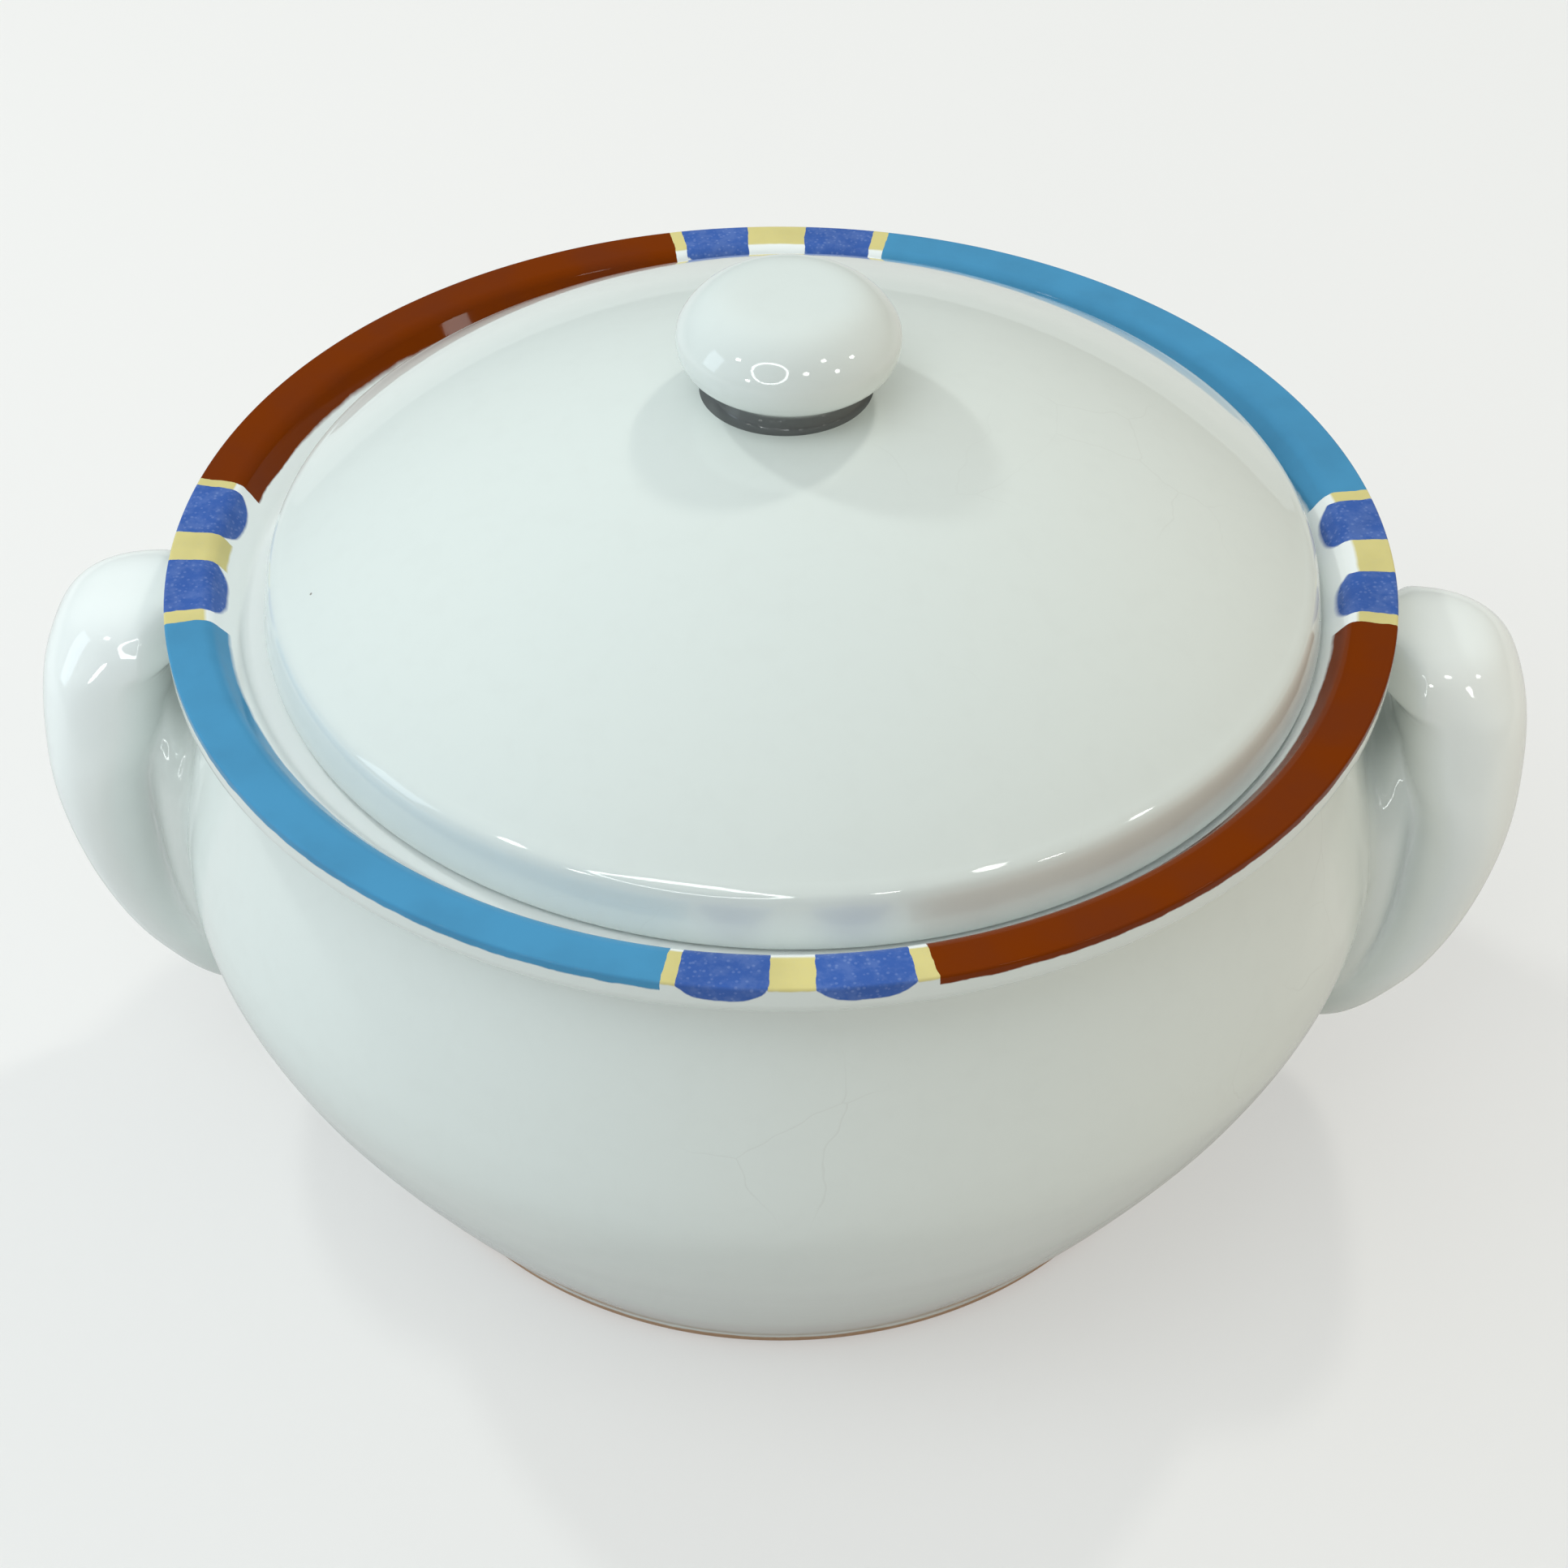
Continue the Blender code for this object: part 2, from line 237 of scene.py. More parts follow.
def skinned(field, low, high, step):
    """Vertices, quads and normals of the surface where field is 0, by surface nets."""
    axes = [np.arange(a, b, step) for a, b in zip(low, high)]
    value = field(*np.meshgrid(*axes, indexing="ij"))
    cells = np.array(value.shape) - 1
    total, count = np.zeros((*cells, 3)), np.zeros(cells)
    crossings = []
    for axis in range(3):
        v = np.moveaxis(value, axis, 0)
        a, b = v[:-1], v[1:]
        crossed = (a < 0) != (b < 0)
        where = np.where(crossed, a / np.where(crossed, a - b, 1.0), 0.0)
        crossed, where = np.moveaxis(crossed, 0, axis), np.moveaxis(where, 0, axis)
        crossings.append((crossed, np.moveaxis(a < 0, 0, axis)))
        others = [i for i in range(3) if i != axis]
        for shift in ((0, 0), (0, 1), (1, 0), (1, 1)):
            cut = [slice(None)] * 3
            for o, s in zip(others, shift):
                cut[o] = slice(s, s + cells[o])
            hit = crossed[tuple(cut)]
            count += hit
            total[..., axis] += hit * where[tuple(cut)]
            for o, s in zip(others, shift):
                total[..., o] += hit * s
    index = -np.ones(cells, int)
    used = count > 0
    index[used] = np.arange(used.sum())
    corner = np.argwhere(used)
    points = np.array(low) + (corner + total[used] / count[used][:, None]) * step
    quads = []
    for axis, (crossed, inside_first) in enumerate(crossings):
        p, q = (axis + 1) % 3, (axis + 2) % 3
        at = np.argwhere(crossed)
        at = at[(at[:, p] > 0) & (at[:, q] > 0) & (at[:, p] < cells[p]) & (at[:, q] < cells[q])]
        ring = []
        for dp, dq in ((-1, -1), (0, -1), (0, 0), (-1, 0)):
            cell = at.copy()
            cell[:, p] += dp
            cell[:, q] += dq
            ring.append(index[tuple(cell.T)])
        ring = np.array(ring).T
        outward = inside_first[tuple(at.T)]
        quads += [ring[outward], ring[~outward][:, ::-1]]

    def gradient(at, h=0.25):
        parts = []
        for axis in range(3):
            d = np.zeros(3)
            d[axis] = h
            parts.append((field(*(at + d).T) - field(*(at - d).T)) / (2 * h))
        return np.array(parts).T

    for _ in range(PULLS):
        g = gradient(points)
        move = field(*points.T)[:, None] * g / (np.sum(g * g, 1)[:, None] + 1e-9)
        points = points - np.clip(move, -MOST_PULLED * step, MOST_PULLED * step)
    g = gradient(points)
    return points, np.vstack(quads), g / (np.linalg.norm(g, axis=1)[:, None] + 1e-9)


def build_handles():
    """The right handle, and the left one as its mirror image."""
    points, quads, normals = skinned(handle_field(), SKIN_LOW, SKIN_HIGH, SKIN_STEP)
    for name, side in (("ear_handle_right", 1), ("ear_handle_left", -1)):
        flip = np.array([side, 1, 1])
        verts = (points * flip + (0, 0, RIM_HEIGHT)) * MM
        yield new_object(name, verts, quads if side > 0 else quads[:, ::-1], normals * flip)


# ---------------------------------------------------------------- the lid and its knob

DOME_EDGE = 95.2          # radius where the lid's dome turns into its rounded edge


def dome(radius, crown=37.1, sphere=158.0):
    """Height above the rim plane of a part of a sphere, at a radius from its middle."""
    return crown - sphere + math.sqrt(sphere * sphere - radius * radius)


def build_lid():
    top = [(r, dome(r)) for r in np.linspace(0.0, DOME_EDGE, 48)]
    edge = smooth_curve([(DOME_EDGE, dome(DOME_EDGE)), (96.5, 4.3), (97.6, 3.3), (98.3, 1.9), (98.8, -0.4),
                         (99.2, -2.8), (99.6, -5.2), (99.4, -6.4), (98.4, -7.2)], 5)[1:]
    flange = rounded([(96.6, -7.3), (86.5, -7.3), (86.2, -14.0), (81.6, -14.0), (80.5, 6.0)], 1.4, 5)
    under = [(r, dome(r, crown=31.1, sphere=152.5)) for r in np.linspace(79.0, 0.0, 30)]
    profile = top + edge + flange[:-1] + under
    return turned("domed_lid", profile[::-1], LID_SLIP)


KNOB_SUNK = 1.3           # how far the knob's foot is sunk into the lid


def build_knob():
    base, crown = 36.55, 56.95
    ball = smooth_curve([
        (0.0, crown), (6.0, crown - 0.05), (11.0, crown - 0.35), (14.5, crown - 1.5),
        (17.6, crown - 3.9), (19.7, crown - 6.8), (20.3, crown - 9.0), (20.0, crown - 11.6),
        (19.0, crown - 13.5), (17.2, crown - 15.0), (15.2, crown - 16.0), (14.1, crown - 17.0),
        (14.0, dome(14.0) + 1.1), (14.5, dome(14.5) + 0.35), (15.6, dome(15.6) + 0.05),
        (16.8, dome(16.8) - 0.25)], 6)
    foot = [(15.5, base - KNOB_SUNK), (0.0, base - KNOB_SUNK)]
    return turned("ball_knob", (ball + foot)[::-1], KNOB_CENTRE)


# ---------------------------------------------------------------- material nodes

class Graph:
    """Short names for building one material's nodes."""

    def __init__(self, name):
        self.material = bpy.data.materials.new(name)
        self.material.use_nodes = True
        self.tree = self.material.node_tree
        self.shader = self.tree.nodes["Principled BSDF"]
        self.place = self.node("ShaderNodeTexCoord").outputs["Object"]

    def node(self, kind, inputs=(), **settings):
        made = self.tree.nodes.new(kind)
        for key, value in settings.items():
            setattr(made, key, value)
        for key, value in dict(inputs).items():
            self.feed(made.inputs[key], value)
        return made

    def feed(self, socket, value):
        if isinstance(value, bpy.types.NodeSocket):
            self.tree.links.new(value, socket)
        else:
            socket.default_value = value

    def math(self, operation, *values, clamp=False):
        return self.node("ShaderNodeMath", enumerate(values), operation=operation,
                         use_clamp=clamp).outputs[0]

    def step(self, value, low, high):
        """0 below low, 1 above high, smooth between; low above high turns it round."""
        made = self.node("ShaderNodeMapRange", {"Value": value, "From Min": low, "From Max": high},
                         interpolation_type="SMOOTHSTEP")
        return made.outputs[0]

    def noise(self, scale, detail=2.0, rough=0.5, place=None):
        return self.node("ShaderNodeTexNoise", {"Vector": place or self.place, "Scale": scale,
                                                "Detail": detail, "Roughness": rough}).outputs["Fac"]

    def mix(self, factor, a, b):
        made = self.node("ShaderNodeMix", data_type="RGBA")
        for socket, value in ((made.inputs[0], factor), (made.inputs[6], a), (made.inputs[7], b)):
            self.feed(socket, value)
        return made.outputs[2]

    def ramp(self, value, stops):
        """Each stop's colour and alpha, held from its place to the next."""
        made = self.node("ShaderNodeValToRGB", {"Fac": value})
        ramp = made.color_ramp
        ramp.interpolation = "CONSTANT"
        for i, (at, colour) in enumerate(stops):
            element = ramp.elements[i] if i < 2 else ramp.elements.new(at)
            element.position, element.color = at, colour
        return made.outputs["Color"], made.outputs["Alpha"]

    def parts(self):
        """The place's x, y and z, and its distance from the Z axis."""
        x, y, z = self.node("ShaderNodeSeparateXYZ", {"Vector": self.place}).outputs
        radius = self.math("SQRT", self.math("ADD", self.math("MULTIPLY", x, x),
                                             self.math("MULTIPLY", y, y)))
        return x, y, z, radius


COOL_WHITE = (0.700, 0.775, 0.765, 1)
WARM_WHITE = (0.755, 0.780, 0.735, 1)
# a brighter white used only as painted light, on the seat and on the handles
PAINTED_LIGHT_WHITE = (0.90, 0.93, 0.92, 1)
DULL_WHITE = (0.60, 0.63, 0.60, 1)
SPECK = (0.16, 0.13, 0.10, 1)
CRAZE = (0.42, 0.41, 0.38, 1)
BISQUE = (0.40, 0.235, 0.135, 1)
BISQUE_GRIT = (0.52, 0.34, 0.21, 1)
RECESS_PAINTED_SHADE = (0.055, 0.058, 0.062, 1)
INK_FRECKLE = (0.34, 0.44, 0.70, 1)
INK_SHADE = (0.02, 0.02, 0.03, 1)
GLAZE_IOR = 1.52

LIGHT_BLUE = (0.074, 0.290, 0.505)
BROWN = (0.180, 0.0300, 0.0006)
ROYAL = (0.050, 0.122, 0.415)
YELLOW = (0.690, 0.610, 0.255)


def glaze(name, speck_share=0.05, waviness=0.06, crazing=0.11):
    """White glossy stoneware glaze: cool and warm drift, warmer towards +x as a painted warm reflection,
    iron specks, crazing, pinholes.
    """
    g = Graph(name)
    x = g.parts()[0]
    drift = g.noise(7.0, 2.0)
    # Painted reflection: besides the random drift, the glaze turns warmer towards +x and cooler towards
    # -x.
    side = g.math("MULTIPLY_ADD", x, 1.6, 0.5)
    warm = g.math("ADD", g.math("MULTIPLY", drift, 0.7), g.math("MULTIPLY", side, 0.35), clamp=True)
    body = g.mix(warm, COOL_WHITE, WARM_WHITE)
    mottle = g.math("MULTIPLY", g.step(g.noise(220.0, 3.0), 0.45, 0.75), 0.06)
    body = g.mix(mottle, body, DULL_WHITE)

    cells = g.node("ShaderNodeTexVoronoi", {"Vector": g.place, "Scale": 95.0})
    chance = g.node("ShaderNodeSeparateColor", {"Color": cells.outputs["Color"]})
    chosen = g.math("LESS_THAN", chance.outputs[0], speck_share)
    size = g.math("MULTIPLY_ADD", chance.outputs[1], 0.045, 0.012)
    dot = g.math("LESS_THAN", cells.outputs["Distance"], size)
    speck = g.math("MULTIPLY", chosen, dot)

    wobble = g.node("ShaderNodeTexNoise", {"Vector": g.place, "Scale": 45.0, "Detail": 3.0})
    bent = g.node("ShaderNodeVectorMath", {0: wobble.outputs["Color"], 1: (0.012,) * 3, 2: g.place},
                  operation="MULTIPLY_ADD")
    crack = g.node("ShaderNodeTexVoronoi", {"Vector": bent.outputs[0], "Scale": 30.0},
                   feature="DISTANCE_TO_EDGE").outputs["Distance"]
    craze = g.math("MULTIPLY", g.step(crack, 0.0055, 0.0015),
                   g.step(g.noise(16.0, 2.0, place=bent.outputs[0]), 0.56, 0.66))

    body = g.mix(g.math("MULTIPLY", craze, crazing), body, CRAZE)
    g.colour = g.mix(g.math("MULTIPLY", speck, 0.75), body, SPECK)
    g.rough = g.math("MULTIPLY_ADD", g.noise(24.0, 3.0), 0.04, 0.022)

    wave = g.math("MULTIPLY", g.noise(30.0, 1.0), waviness)
    peel = g.math("MULTIPLY", g.noise(420.0, 1.0), 0.006)
    pits = g.math("MULTIPLY", speck, -0.05)
    g.height = g.math("ADD", g.math("ADD", wave, peel),
                      g.math("ADD", pits, g.math("MULTIPLY", craze, -0.008)))
    return g


def close(g):
    """Connects what glaze() and the painters left, and returns the material."""
    g.feed(g.shader.inputs["Base Color"], g.colour)
    g.feed(g.shader.inputs["Roughness"], g.rough)
    g.shader.inputs["IOR"].default_value = GLAZE_IOR
    bump = g.node("ShaderNodeBump", {"Height": g.height, "Distance": MM})
    g.feed(g.shader.inputs["Normal"], bump.outputs[0])
    return g.material


# Each painted group on the rim: first angle in degrees, the widths of thin bar, block, square,
# block and thin bar, and how far the square runs down the bevel. An arc follows in its own colour.
GROUPS = [
    (-97.3, (1.2, 7.6, 3.9, 8.2, 1.8), 0.1, BROWN),
    (-8.5, (1.5, 6.4, 5.1, 6.4, 1.5), 0.0, LIGHT_BLUE),
    (80.9, (1.6, 7.4, 6.3, 7.1, 1.3), 0.0, BROWN),
    (171.0, (1.2, 7.5, 4.4, 7.8, 1.8), 0.8, LIGHT_BLUE)]
GROUP_SPAN = 30.0         # degrees of rim read for one group, its middle in the middle
GROUP_RULES = 50.0        # a group's colours hold this many degrees either side of its middle
# Shares of paint down the bevel, over the outer edge and freckled, then 1 for a block.
ARC_EXTENT = (1.0, 0.44, 0.0, 0)
BAR_EXTENT = (0.1, 0.05, 0.1, 0)
BLOCK_EXTENT = (0.95, 0.82, 1.0, 1)

SEAT_INNER = 91.0         # painted light, a brighter white, fades in between these two radii
SEAT_FULL = 92.5
SEAT_OUTER = 112.0        # and stops at this one, under the paint
SEAT_LOW = 9.5            # it fades in between these two depths below the rim plane
SEAT_HIGH = 8.5
FLAT_INNER = 107.6        # paint that doesn't run down the bevel stops at this radius
BEVEL_RUN = 4.3           # the furthest that paint runs down the bevel
FLAT_OUTER = 114.0        # paint further out than this is on the rim's outer edge
EDGE_RUN = 3.4            # the furthest that paint runs down the outer edge
PAINT_DEPTH = 7.0         # no paint lies further below the rim plane than this
PAINT_THICKNESS = 0.03


def group_paint(g, x, y, ragged, before, start, widths, square, after):
    """One group's ink, extents and nearness to a block's ends, and where on the rim it rules."""
    edges = np.concatenate([[0], np.cumsum(widths)]) - sum(widths) / 2
    middle = math.radians(start + sum(widths) / 2)
    along = g.math("MULTIPLY_ADD", x, math.cos(middle), g.math("MULTIPLY", y, math.sin(middle)))
    across = g.math("MULTIPLY_ADD", y, math.cos(middle), g.math("MULTIPLY", x, -math.sin(middle)))
    angle = g.math("MULTIPLY_ADD", g.math("ARCTAN2", across, along), 180 / math.pi, ragged)
    share = g.math("MULTIPLY_ADD", angle, 1 / GROUP_SPAN, 0.5, clamp=True)
    places = [0.0, *(edges / GROUP_SPAN + 0.5)]
    inks = (before, YELLOW, ROYAL, YELLOW, ROYAL, YELLOW, after)
    square_extent = (square, *BAR_EXTENT[1:])
    extents = (ARC_EXTENT, BAR_EXTENT, BLOCK_EXTENT, square_extent, BLOCK_EXTENT, BAR_EXTENT, ARC_EXTENT)
    ink = g.ramp(share, [(at, (*colour, 1)) for at, colour in zip(places, inks)])[0]
    extent, block = g.ramp(share, list(zip(places, extents)))
    ends = [g.math("ABSOLUTE", g.math("MULTIPLY_ADD", angle, 2 / (b - a), -(a + b) / (b - a)))
            for a, b in ((edges[1], edges[2]), (edges[3], edges[4]))]
    near = g.math("MULTIPLY", block, g.math("POWER", g.math("MINIMUM", *ends), 3.5), clamp=True)
    return ink, extent, near, g.math("LESS_THAN", g.math("ABSOLUTE", angle), GROUP_RULES)


def paint_rim(g):
    """Coloured arcs and barred groups on the rim's flat top, its bevel and its outer edge."""
    x, y, z, radius = g.parts()
    above = g.step(z, RIM_HEIGHT * MM - SEAT_LOW * MM, RIM_HEIGHT * MM - SEAT_HIGH * MM)
    seat = g.math("MULTIPLY", g.step(radius, SEAT_INNER * MM, SEAT_FULL * MM), above)
    seat = g.math("MULTIPLY", seat, g.math("LESS_THAN", radius, SEAT_OUTER * MM))
    # Painted light: the glaze inside the rim is mixed towards a brighter white, lifting the shade that
    # falls there.
    g.colour = g.mix(g.math("MULTIPLY", seat, 0.85), g.colour, PAINTED_LIGHT_WHITE)
    ragged = g.math("MULTIPLY_ADD", g.noise(300.0, 3.0), 0.5, -0.25)
    ink, extent, near = (*LIGHT_BLUE, 1), (*ARC_EXTENT[:3], 1), 0.0
    for group, last in zip(GROUPS, GROUPS[-1:] + GROUPS[:-1]):
        own_ink, own_extent, own_near, rules = group_paint(g, x, y, ragged, last[3], *group)
        ink, extent = g.mix(rules, ink, own_ink), g.mix(rules, extent, own_extent)
        near = g.math("MULTIPLY_ADD", rules, own_near, near)
    extent = g.node("ShaderNodeSeparateColor", {"Color": extent}).outputs
    full = g.math("SUBTRACT", 1.0, near)

    down = g.math("MULTIPLY", extent[0], g.math("MULTIPLY_ADD", full, 0.5, 0.5))
    inner = g.math("MULTIPLY_ADD", down, -BEVEL_RUN * MM, FLAT_INNER * MM)
    inner = g.math("MULTIPLY_ADD", g.noise(150.0, 3.0), 0.8 * MM, inner)
    soft = g.math("MULTIPLY_ADD", g.noise(22.0, 1.0), 1.6 * MM, -0.3 * MM)
    soft = g.math("MAXIMUM", soft, 0.12 * MM)
    inside = g.math("DIVIDE", g.math("SUBTRACT", radius, inner), soft, clamp=True)
    over = g.math("MULTIPLY", extent[1], full)
    lower = g.math("MULTIPLY_ADD", over, -EDGE_RUN * MM, (RIM_HEIGHT + 0.7) * MM)
    lower = g.math("MULTIPLY_ADD", g.noise(240.0, 4.0), -0.9 * MM, lower)
    outside = g.step(g.math("SUBTRACT", z, lower), -0.65 * MM, -0.25 * MM)
    on_rim = g.math("GREATER_THAN", z, (RIM_HEIGHT - PAINT_DEPTH) * MM)
    on_flat = g.math("LESS_THAN", radius, FLAT_OUTER * MM)
    mask = g.math("MULTIPLY", g.math("MULTIPLY", inside, g.math("MAXIMUM", on_flat, outside)), on_rim)

    dots = g.node("ShaderNodeTexVoronoi", {"Vector": g.place, "Scale": 950.0}).outputs["Distance"]
    cloud = g.step(g.noise(330.0, 4.0, 0.65), 0.40, 0.66)
    freckle = g.math("MULTIPLY", g.math("ADD", g.math("MULTIPLY", g.step(dots, 0.36, 0.16), 0.20),
                                        g.math("MULTIPLY", cloud, 0.13)), extent[2])
    ink = g.mix(freckle, ink, INK_FRECKLE)
    shade = g.math("MULTIPLY", g.step(g.noise(60.0, 4.0), 0.35, 0.75), 0.14)
    ink = g.mix(shade, ink, INK_SHADE)
    g.colour = g.mix(mask, g.colour, ink)
    g.height = g.math("MULTIPLY_ADD", mask, PAINT_THICKNESS, g.height)
    g.feed(g.shader.inputs["Specular IOR Level"], g.math("MULTIPLY_ADD", mask, -0.42, 0.5))


WIPE_HEIGHT = 1.5         # the glaze stops this far above the table
WIPE_WAVER = 1.4          # and up to this much higher in places
FOOT_INNER = 74.6         # the bare ring's inner radius


def bare_foot(g):
    """The ring the pot stands on is wiped clean of glaze and shows the brown body."""
    z, radius = g.parts()[2:]
    line = g.math("MULTIPLY_ADD", g.noise(120.0, 3.0), WIPE_WAVER * MM, WIPE_HEIGHT * MM)
    low = g.step(g.math("SUBTRACT", z, line), 0.15 * MM, -0.15 * MM)
    ring = g.math("MULTIPLY", low, g.math("GREATER_THAN", radius, FOOT_INNER * MM))
    grit = g.mix(g.noise(900.0, 3.0), BISQUE, BISQUE_GRIT)
    g.colour = g.mix(ring, g.colour, grit)
    g.rough = g.math("MULTIPLY_ADD", ring, 0.7, g.rough)
    g.height = g.math("MULTIPLY_ADD", g.math("MULTIPLY", g.noise(1500.0, 2.0), ring), 0.05, g.height)


RECESS_TOP = 39.4         # painted shade darkens the knob up to this height above the rim plane
RECESS_SOFT = 0.9         # half the height over which the painted shade fades in
RECESS_SHADE_STRENGTH = 0.88


def knob_material():
    """White glaze, with painted shade darkening the recess under the ball."""
    g = glaze("knob_glaze_white", 0.02, 0.02, 0.07)
    z = g.parts()[2]
    edge = g.math("MULTIPLY_ADD", g.noise(90.0, 2.0), 0.8 * MM, (RIM_HEIGHT + RECESS_TOP) * MM)
    recess = g.step(g.math("SUBTRACT", z, edge), RECESS_SOFT * MM, -RECESS_SOFT * MM)
    # Painted shade: the glaze is mixed almost to black in the recess, where shadow falls.
    g.colour = g.mix(g.math("MULTIPLY", recess, RECESS_SHADE_STRENGTH), g.colour, RECESS_PAINTED_SHADE)
    return close(g)


PAINTED_LIGHT_START = 112.0      # painted light makes the handles whiter from this x outwards
PAINTED_LIGHT_FULL = 128.0
PAINTED_LIGHT_STRENGTH = 0.65


def handle_material():
    """The pot's glaze, with painted light making it a little whiter outwards on the handles."""
    g = glaze("handle_glaze", 0.03, 0.035)
    outward = g.step(g.math("ABSOLUTE", g.parts()[0]), PAINTED_LIGHT_START * MM, PAINTED_LIGHT_FULL * MM)
    # Painted light: the outer ear is mixed towards a brighter white, as if more light fell there.
    g.colour = g.mix(g.math("MULTIPLY", outward, PAINTED_LIGHT_STRENGTH), g.colour, PAINTED_LIGHT_WHITE)
    return close(g)


def pot_material():
    """White glaze with the painted rim and the bare foot ring."""
    g = glaze("pot_glaze_painted")
    paint_rim(g)
    bare_foot(g)
    return close(g)


# ---------------------------------------------------------------- pieces onto the frame

def stand_in(obj, body, node, material):
    """Shows a piece in place of a CAD node, on the node's body."""
    obj.data.materials.append(material)
    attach(obj, body)
    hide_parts(node)


stand_in(build_pot(), "pot", "pot_body", pot_material())
handle_white = handle_material()
for ear in build_handles():
    stand_in(ear, "pot", ear.name.replace("ear_", ""), handle_white)
lid_white = close(glaze("lid_glaze_white", 0.035, 0.03, 0.07))
stand_in(build_lid(), "lid", "lid_cover", lid_white)
stand_in(build_knob(), "lid", "lid_knob", knob_material())


# ---------------------------------------------------------------- floor, lights, camera

def glowing(name, colour, strength):
    """A black material that only gives light."""
    mat = bpy.data.materials.new(name)
    mat.use_nodes = True
    shader = mat.node_tree.nodes["Principled BSDF"]
    shader.inputs["Base Color"].default_value = (0, 0, 0, 1)
    shader.inputs["Roughness"].default_value = 1.0
    shader.inputs["Emission Color"].default_value = (*colour, 1)
    shader.inputs["Emission Strength"].default_value = strength
    return mat


def staged(obj, material):
    obj.data.materials.append(material)
    return obj


def rim_point(azimuth, elevation, distance):
    """A point seen from the rim's centre; azimuth 0 is the front, positive to the right."""
    a, e = math.radians(azimuth), math.radians(elevation)
    return Vector((math.sin(a) * math.cos(e), -math.cos(a) * math.cos(e), math.sin(e))) * distance \
        + Vector((0, 0, RIM_HEIGHT * MM))


POT_MIDDLE = Vector((0, 0, 0.1))


def aimed(obj, at):
    """Puts a lamp there, facing the pot."""
    obj.location = at
    obj.rotation_mode = "QUATERNION"
    obj.rotation_quaternion = (POT_MIDDLE - at).to_track_quat("-Z", "Y")
    return obj


def area(name, at, size, power, colour, mirrored=False):
    data = bpy.data.lights.new(name, "AREA")
    data.shape = "RECTANGLE"
    data.size, data.size_y = size
    data.energy, data.color = power, colour
    obj = bpy.data.objects.new(name, data)
    bpy.context.scene.collection.objects.link(obj)
    obj.visible_glossy = mirrored
    return aimed(obj, at)


def glowing_ring(name, at, radius, tube, material, turns=64, sides=8):
    """A ring-shaped lamp facing the pot."""
    verts, faces = [], []
    for i in range(turns):
        a = 2 * math.pi * i / turns
        for k in range(sides):
            b = 2 * math.pi * k / sides
            r = radius + tube * math.cos(b)
            verts.append((r * math.cos(a), r * math.sin(a), tube * math.sin(b)))
            here, ahead, beside = i * sides, (i + 1) % turns * sides, (k + 1) % sides
            faces.append((here + k, here + beside, ahead + beside, ahead + k))
    obj = staged(new_object(name, verts, faces), material)
    return aimed(obj, at)


FLOOR_COLOUR = (0.48, 0.475, 0.465, 1)
FLOOR_GLOW = 0.14
FLOOR_SEEN_GLOW = 0.22    # added only where the camera sees the floor itself
FLOOR_REACH = 9           # metres from the middle to each side


def pale_floor():
    """Pale and even to the camera; returns less light to the pot, as a smaller table would."""
    g = Graph("pale_floor")
    seen = g.node("ShaderNodeLightPath").outputs["Is Camera Ray"]
    g.shader.inputs["Base Color"].default_value = FLOOR_COLOUR
    g.shader.inputs["Emission Color"].default_value = (1, 1, 1, 1)
    glow = g.math("MULTIPLY_ADD", seen, FLOOR_SEEN_GLOW, FLOOR_GLOW)
    g.feed(g.shader.inputs["Emission Strength"], glow)
    g.shader.inputs["Roughness"].default_value = 0.8
    g.shader.inputs["Specular IOR Level"].default_value = 0.2
    return g.material


floor_corners = [(x * FLOOR_REACH, y * FLOOR_REACH, 0) for x, y in ((-1, -1), (1, -1), (1, 1), (-1, 1))]
staged(new_object("floor", floor_corners, [(0, 1, 2, 3)]), pale_floor())

# The lamps only draw highlights; the area lights and the room give the light itself.
SPOT_LAMPS = ((-61, 43), (51, 52), (79, 36), (22, 40), (55, 31), (-38, 22))
SPOT_DISTANCE = 1.4
ring_white = glowing("ring_lamp", (0.97, 1.0, 1.0), 11.0)
spot_white = glowing("spot_lamp", (1.0, 1.0, 0.96), 15.0)
lamps = [glowing_ring("ring_lamp", rim_point(-19, 40, 1.2), 0.33, 0.028, ring_white)]
for i, (azimuth, elevation) in enumerate(SPOT_LAMPS):
    at = rim_point(azimuth, elevation, SPOT_DISTANCE)
    lamps.append(glowing_ring(f"spot_lamp_{i}", at, 0.031, 0.030, spot_white, turns=24))
for lamp in lamps:
    lamp.visible_diffuse = lamp.visible_camera = lamp.visible_shadow = False

area("key", rim_point(-38, 60, 1.7), (1.1, 1.1), 6.3, (0.97, 0.99, 1.0))
area("ceiling_left", rim_point(-128, 41, 1.6), (0.12, 0.12), 5.4, (0.96, 1.0, 0.98))
area("ceiling_right", rim_point(149, 48, 1.6), (0.12, 0.12), 5.0, (1.0, 0.97, 0.90))
area("left_side", rim_point(-78, 12, 1.4), (1.2, 0.9), 4.6, (0.92, 0.98, 1.0))
area("right_side", rim_point(76, 8, 1.4), (1.2, 0.9), 5.2, (1.0, 0.85, 0.64))
area("front_fill", rim_point(-12, 24, 1.6), (0.9, 0.6), 2.4, (0.97, 1.0, 1.0))
area("window", rim_point(-80, 19, 1.6), (0.45, 0.7), 2.5, (0.72, 0.87, 1.0), mirrored=True)


OVERHEAD = (0.74, 0.80, 0.80, 1)
BACKGROUND = (0.80, 0.80, 0.80, 1)   # what the camera sees past the floor
ROOM_STRENGTH = 0.79
MIRROR_STRENGTH = 0.24    # the room is this bright in reflections


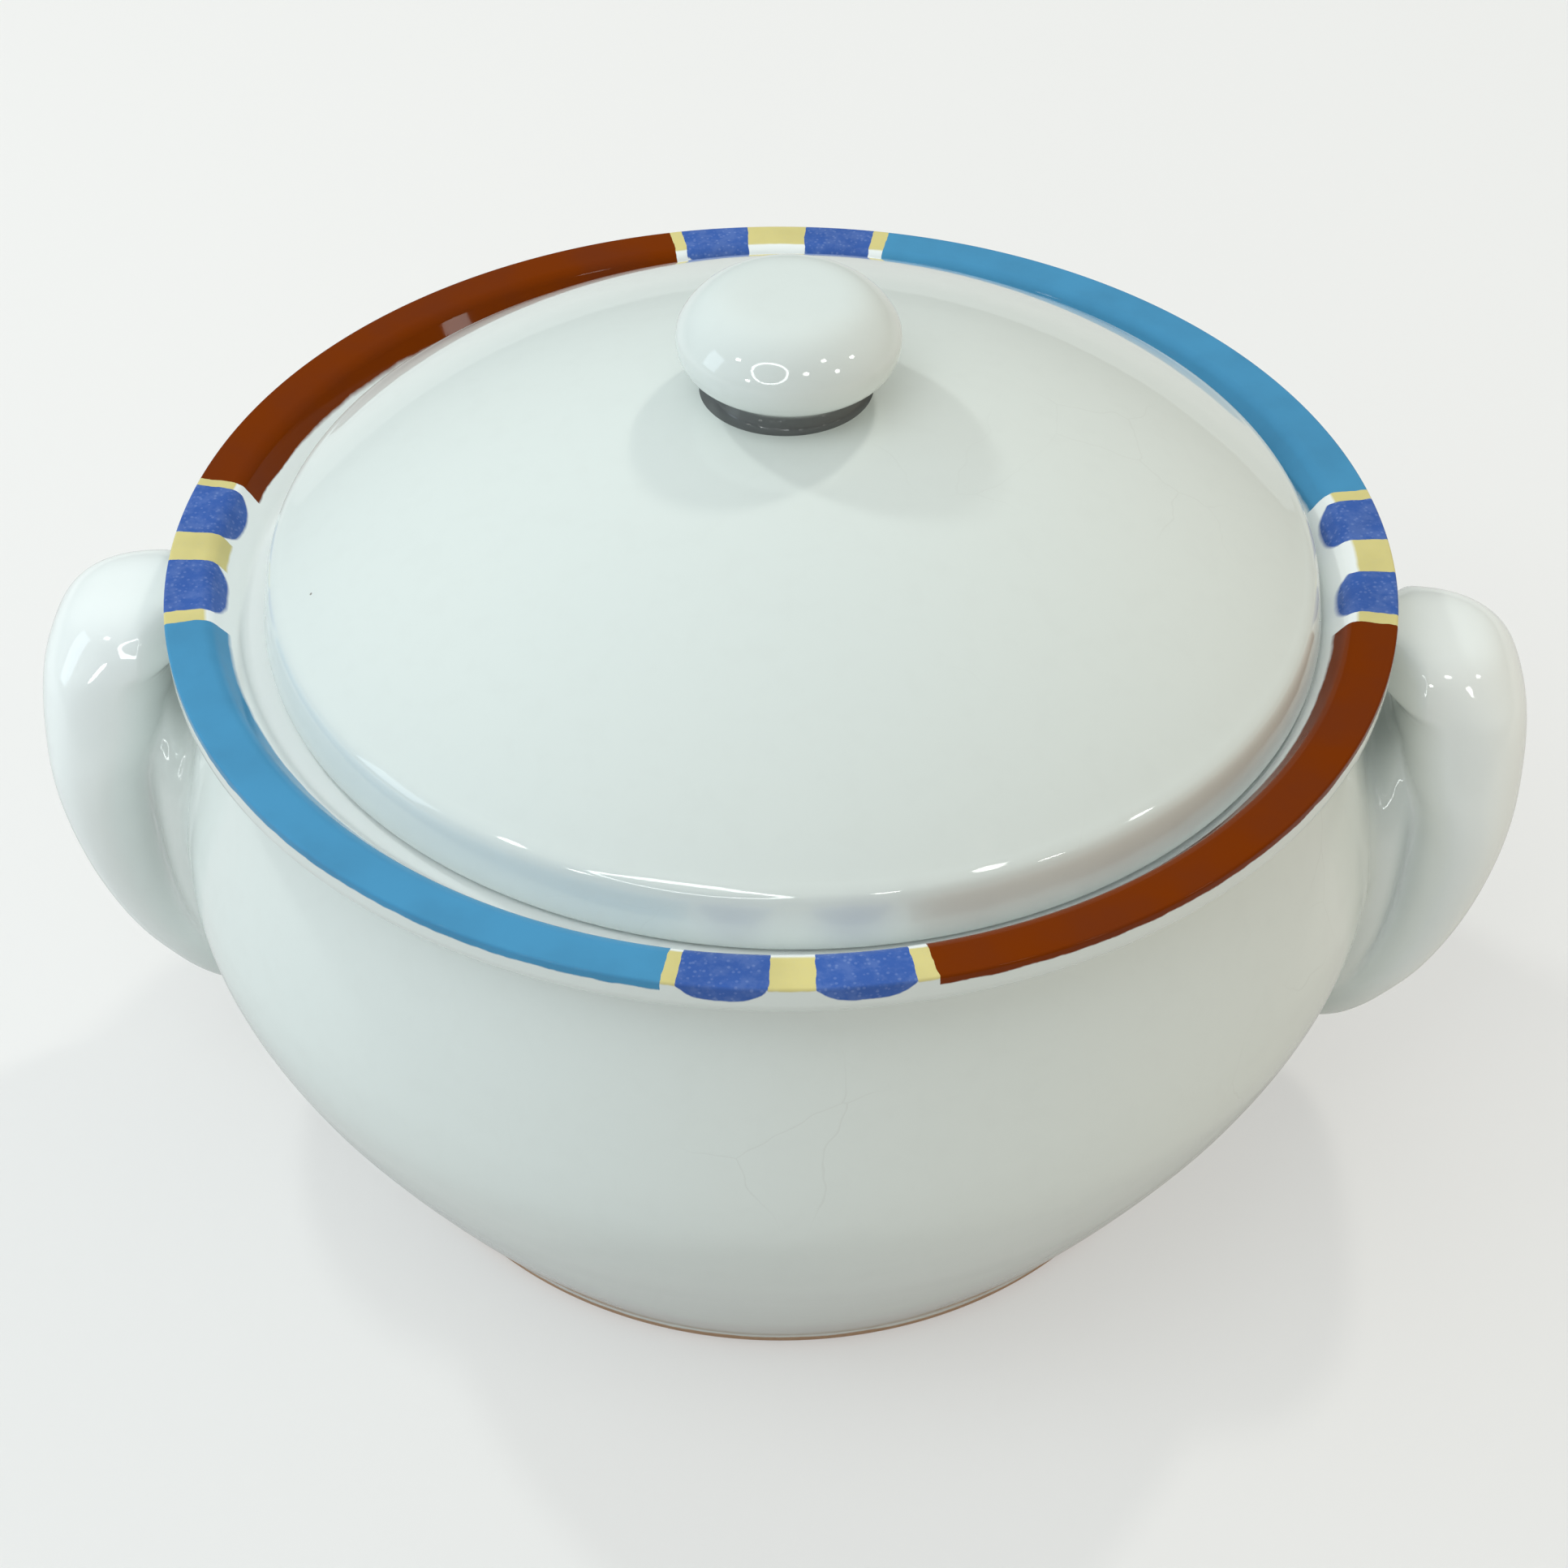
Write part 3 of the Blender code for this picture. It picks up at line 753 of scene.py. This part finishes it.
def soft_room():
    """Bright above, dim at the horizon, cool on the left and warm on the right."""
    world = bpy.data.worlds.new("soft_room")
    world.use_nodes = True
    tree = world.node_tree
    out = tree.nodes["World Output"]
    tree.nodes.remove(tree.nodes["Background"])
    split = tree.nodes.new("ShaderNodeSeparateXYZ")
    tree.links.new(tree.nodes.new("ShaderNodeTexCoord").outputs["Generated"], split.inputs[0])

    def ramp(source, low, high, stops):
        span = tree.nodes.new("ShaderNodeMapRange")
        span.inputs["From Min"].default_value, span.inputs["From Max"].default_value = low, high
        made = tree.nodes.new("ShaderNodeValToRGB")
        made.color_ramp.interpolation = "EASE"
        for element, (at, colour) in zip(made.color_ramp.elements, stops):
            element.position, element.color = at, (*colour, 1)
        tree.links.new(source, span.inputs["Value"])
        tree.links.new(span.outputs[0], made.inputs[0])
        return made.outputs[0]

    def multiplied(a, b):
        made = tree.nodes.new("ShaderNodeVectorMath")
        made.operation = "MULTIPLY"
        tree.links.new(a, made.inputs[0])
        tree.links.new(b, made.inputs[1])
        return made.outputs[0]

    sides = ramp(split.outputs[0], -0.8, 0.8, [(0.25, (0.24, 0.29, 0.31)), (0.9, (0.30, 0.225, 0.145))])
    front = ramp(split.outputs[1], -1.0, 0.4, [(0.1, (0.45,) * 3), (0.9, (1, 1, 1))])
    height = ramp(split.outputs[2], 0.0, 1.0, [(0.10, (0, 0, 0)), (0.85, (1, 1, 1))])
    blend = tree.nodes.new("ShaderNodeMix")
    blend.data_type = "RGBA"
    tree.links.new(height, blend.inputs[0])
    tree.links.new(multiplied(sides, front), blend.inputs[6])
    blend.inputs[7].default_value = OVERHEAD
    path = tree.nodes.new("ShaderNodeLightPath").outputs
    room, mirror, seen = (tree.nodes.new("ShaderNodeBackground") for _ in range(3))
    tree.links.new(blend.outputs[2], room.inputs["Color"])
    room.inputs["Strength"].default_value = ROOM_STRENGTH
    tree.links.new(blend.outputs[2], mirror.inputs["Color"])
    mirror.inputs["Strength"].default_value = MIRROR_STRENGTH
    seen.inputs["Color"].default_value = BACKGROUND
    last = room
    for ray, other in (("Is Glossy Ray", mirror), ("Is Camera Ray", seen)):
        pick = tree.nodes.new("ShaderNodeMixShader")
        tree.links.new(path[ray], pick.inputs[0])
        tree.links.new(last.outputs[0], pick.inputs[1])
        tree.links.new(other.outputs[0], pick.inputs[2])
        last = pick
    tree.links.new(last.outputs[0], out.inputs["Surface"])
    return world


bpy.context.scene.world = soft_room()

LENS = 69.9
SENSOR = 36.0
EYE_DISTANCE = 0.57665    # from the rim's centre
EYE_ELEVATION = 37.57
EYE_TURN = 2.5            # how far the front of the pot is turned from the camera
EYE_PITCH = 41.95
EYE_SWING = 0.082         # how far the view points off the pot's axis
EYE_ROLL = 0.19
cam_data = bpy.data.cameras.new("camera")
cam_data.lens = LENS
cam_data.sensor_width = SENSOR
cam_data.sensor_fit = "HORIZONTAL"
cam_data.clip_start = 0.02
cam = bpy.data.objects.new("camera", cam_data)
bpy.context.scene.collection.objects.link(cam)
cam.location = rim_point(EYE_TURN, EYE_ELEVATION, EYE_DISTANCE)
cam.rotation_mode = "QUATERNION"
cam.rotation_quaternion = (Matrix.Rotation(math.radians(EYE_TURN - EYE_SWING), 3, "Z")
                           @ Matrix.Rotation(math.radians(90 - EYE_PITCH), 3, "X")
                           @ Matrix.Rotation(math.radians(EYE_ROLL), 3, "Z")).to_quaternion()
bpy.context.scene.camera = cam
bpy.context.scene.view_settings.view_transform = "Standard"
